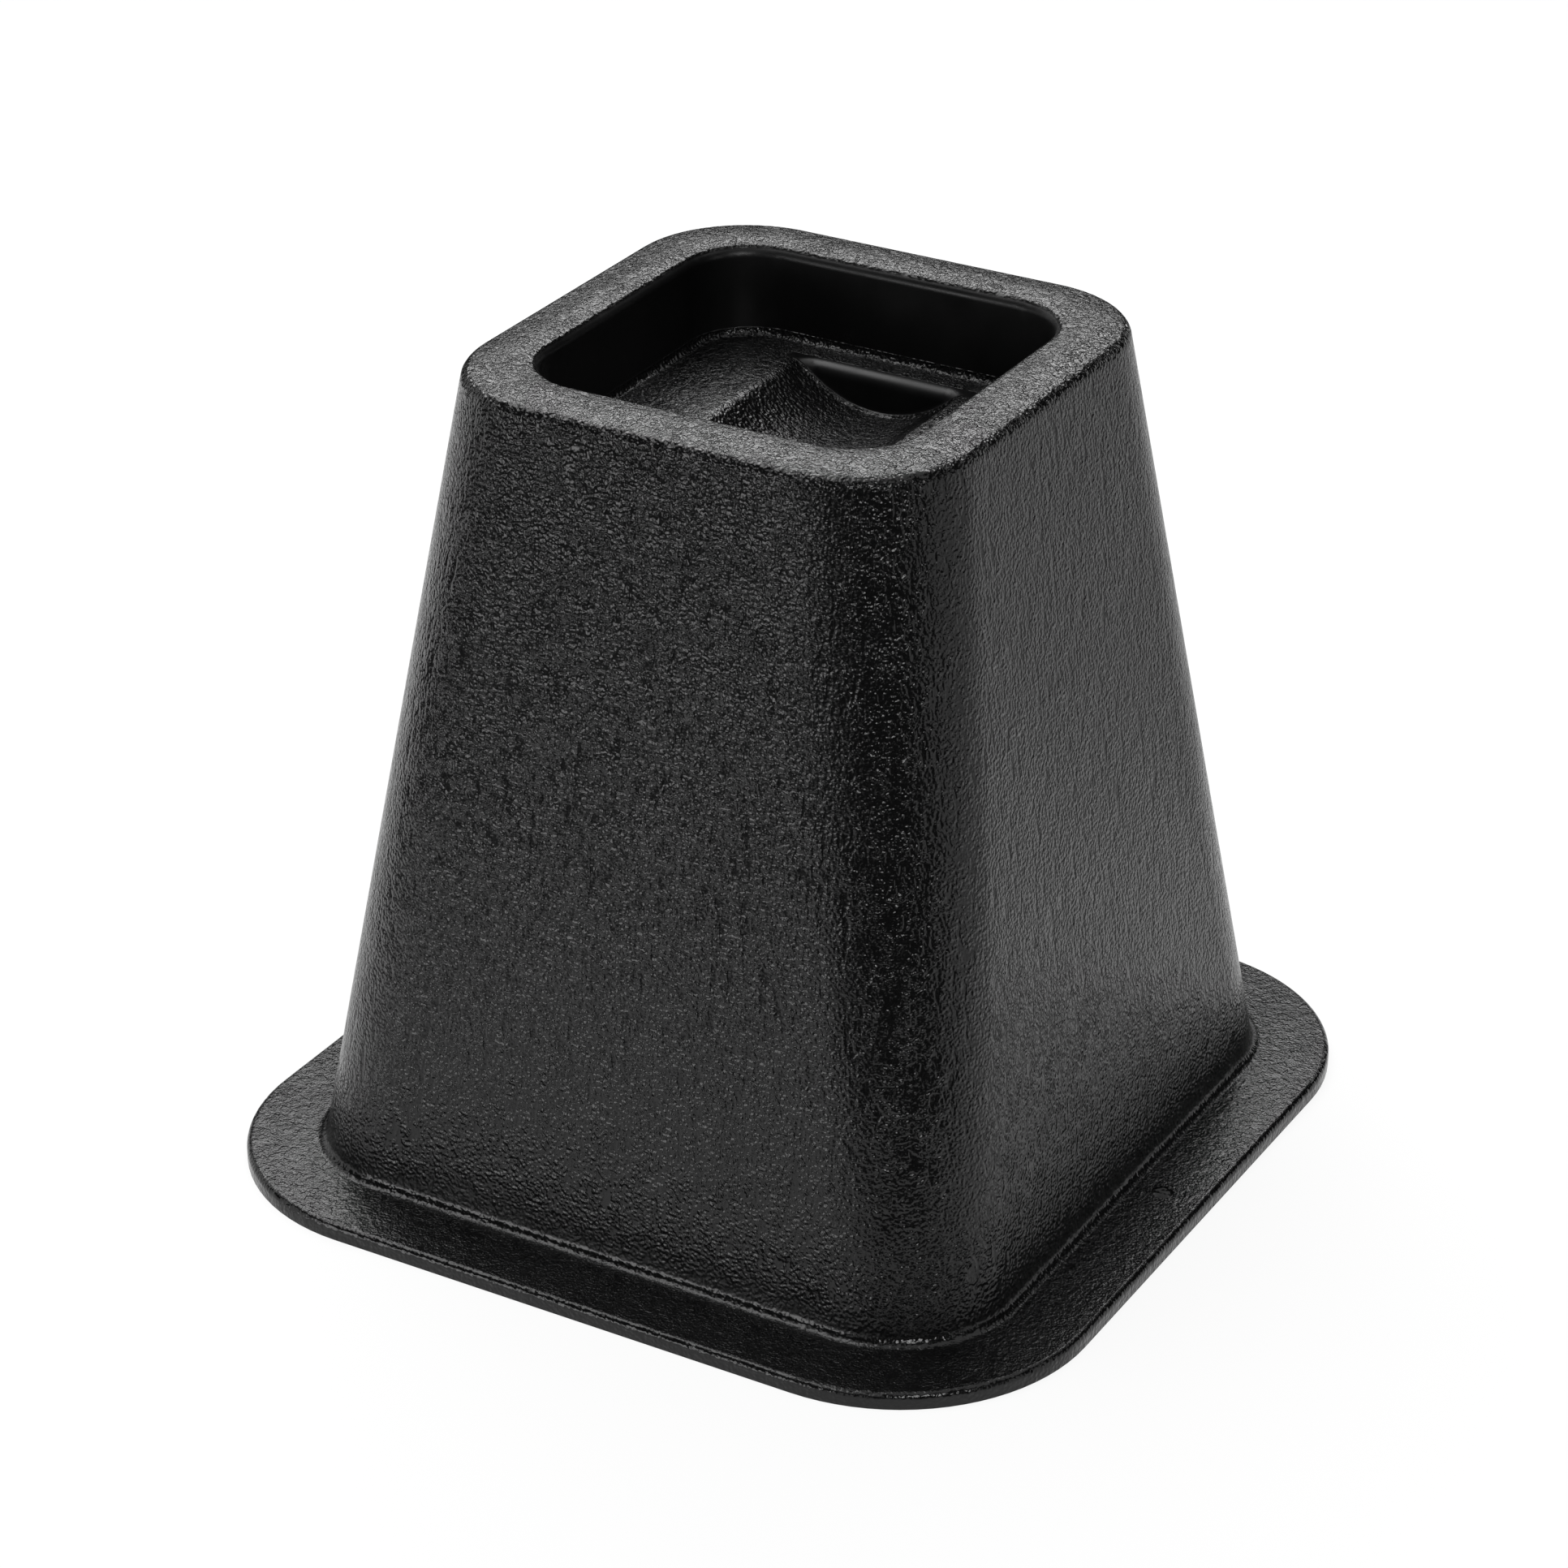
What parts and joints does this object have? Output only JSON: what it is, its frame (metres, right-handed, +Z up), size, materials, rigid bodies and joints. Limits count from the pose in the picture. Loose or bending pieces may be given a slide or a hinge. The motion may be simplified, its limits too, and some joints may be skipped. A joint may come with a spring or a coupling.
{
  "type": "bed riser",
  "caption": "Moulded hollow bed riser: a tapered square block on a flange, with a leg well and a wheel trough on top.",
  "frame": {"origin": "centre of the foot, on the surface that the riser stands on", "axes": "+Z up, +Y along the wheel trough, +X towards the side of the flange that has the screw hole"},
  "size_m": [0.1672, 0.1672, 0.152],
  "materials": {
    "riser": "black moulded polypropylene with a fine pebble grain outside and plain satin well walls"
  },
  "bodies": {
    "root": {"riser": "riser"}
  },
  "joints": []
}
